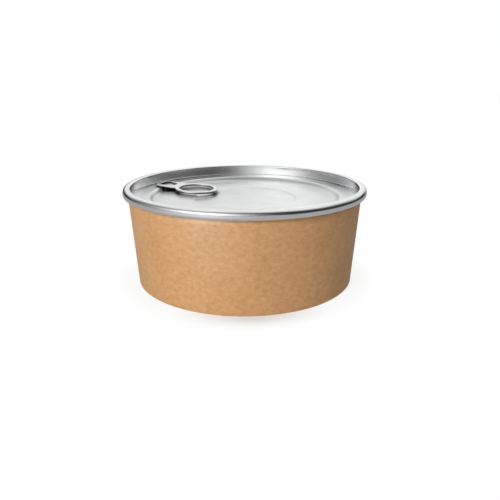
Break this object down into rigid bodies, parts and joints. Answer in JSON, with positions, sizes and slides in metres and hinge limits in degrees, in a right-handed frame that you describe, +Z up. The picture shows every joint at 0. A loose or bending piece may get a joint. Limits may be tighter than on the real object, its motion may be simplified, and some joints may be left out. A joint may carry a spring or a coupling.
{
  "type": "paper bowl with lid",
  "caption": "Round kraft-board food bowl with a slightly tapered wall, a recessed bottom and an aluminium lid rolled on at the rim, opened with a ring pull.",
  "frame": {"origin": "centre of the foot, on the surface that the bowl stands on", "axes": "+Z up along the axis of the bowl, -Y towards the viewer of the picture, +X to the right"},
  "size_m": [0.126, 0.126, 0.05],
  "materials": {
    "kraft_board": "matt uncoated kraft outside",
    "bottom_board": "matt kraft",
    "compound": "matt sealing compound",
    "lid_metal": "satin",
    "tab_metal": "satin"
  },
  "bodies": {
    "bowl": {"side_wall": "kraft_board", "bottom_disc": "bottom_board", "sealing_ring": "compound", "lid": "lid_metal", "tab_tongue": "tab_metal"},
    "tab": {"pull_tab": "tab_metal"}
  },
  "joints": [
    {"name": "tab_lift", "type": "hinge", "parent": "bowl", "child": "tab", "pos_m": [-0.04759, 0.02321, 0.04535], "axis": [-0.4384, -0.8988, 0], "range_deg": [0, 90]}
  ]
}
